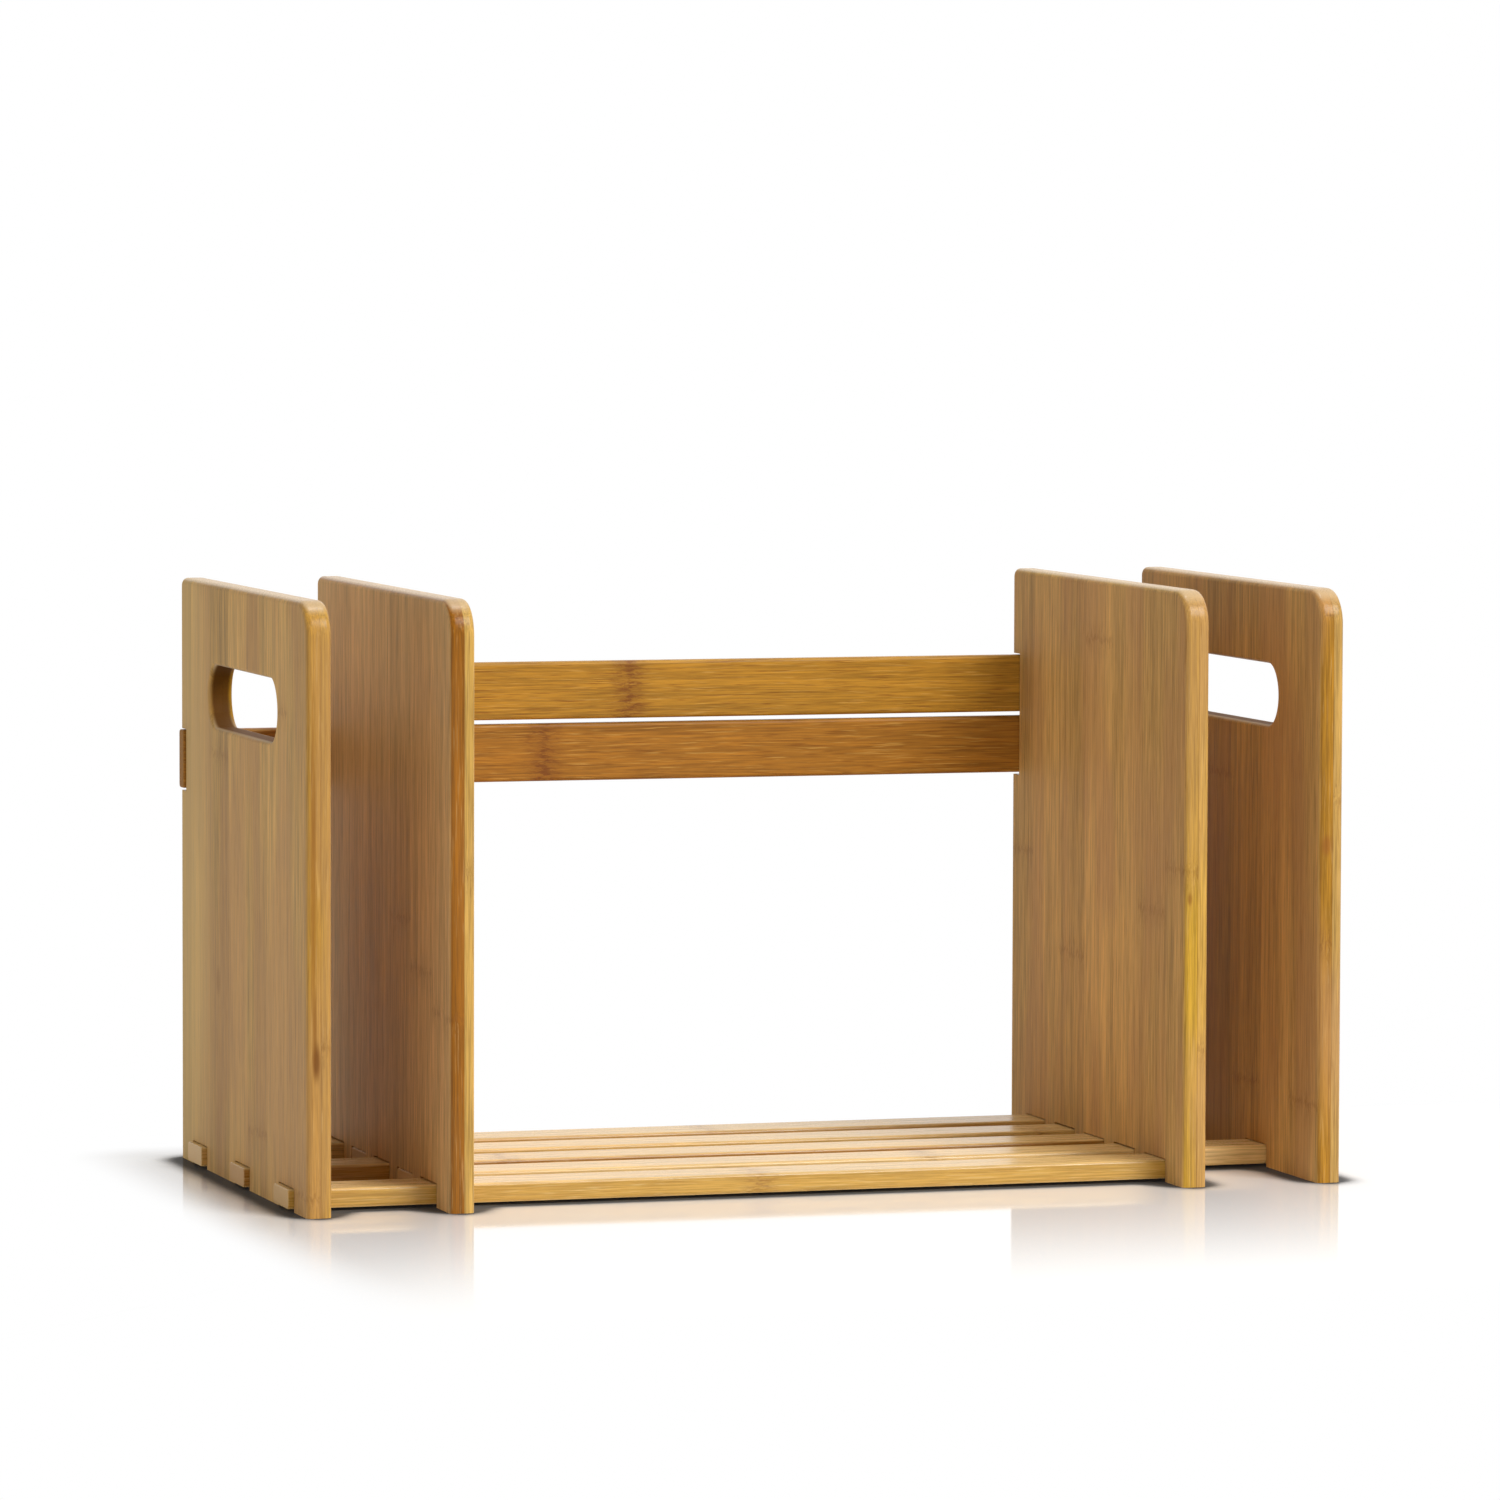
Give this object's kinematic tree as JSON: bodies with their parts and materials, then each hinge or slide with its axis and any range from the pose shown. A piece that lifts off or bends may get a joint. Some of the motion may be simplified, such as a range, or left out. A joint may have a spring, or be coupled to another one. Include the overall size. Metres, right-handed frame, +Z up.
{
  "type": "desktop book rack",
  "caption": "Extending desktop book rack in laminated bamboo: interleaved halves of upright boards and slats slide apart to widen the bays for books.",
  "frame": {"origin": "on the table, under the middle of the rack as it stands at rest", "axes": "+X along the rack's length and the slide, towards the right outer board; +Y from the open front to the back slats; +Z up"},
  "size_m": [0.3626, 0.177, 0.2],
  "materials": {
    "bamboo_board": "edge-laminated bamboo, vertical grain, clear satin lacquer",
    "bamboo_slat": "bamboo strip, grain along its length, clear satin lacquer",
    "bamboo_back_slat": "golden brown bamboo strip with darker streaks and nodes, clear satin lacquer",
    "zinc_plated_screw": "bright zinc plate, cross recess"
  },
  "bodies": {
    "left_half": {"left_outer_board": "bamboo_board", "right_inner_board": "bamboo_board", "bottom_slat_front": "bamboo_slat", "bottom_slat_middle": "bamboo_slat", "bottom_slat_rear": "bamboo_slat", "lower_back_slat": "bamboo_back_slat", "left_outer_screw_front": "zinc_plated_screw", "left_outer_screw_middle": "zinc_plated_screw", "left_outer_screw_rear": "zinc_plated_screw", "left_outer_screw_back": "zinc_plated_screw", "right_inner_screw_front": "zinc_plated_screw", "right_inner_screw_middle": "zinc_plated_screw", "right_inner_screw_rear": "zinc_plated_screw", "right_inner_screw_back": "zinc_plated_screw"},
    "right_half": {"right_outer_board": "bamboo_board", "left_inner_board": "bamboo_board", "bottom_slat_second": "bamboo_slat", "bottom_slat_fourth": "bamboo_slat", "upper_back_slat": "bamboo_back_slat", "right_outer_screw_second": "zinc_plated_screw", "right_outer_screw_fourth": "zinc_plated_screw", "right_outer_screw_back": "zinc_plated_screw", "left_inner_screw_second": "zinc_plated_screw", "left_inner_screw_fourth": "zinc_plated_screw", "left_inner_screw_back": "zinc_plated_screw"}
  },
  "joints": [
    {"name": "rack_slide", "type": "slide", "parent": "left_half", "child": "right_half", "axis": [1, 0, 0], "range_m": [-0.0392, 0.2452]}
  ]
}
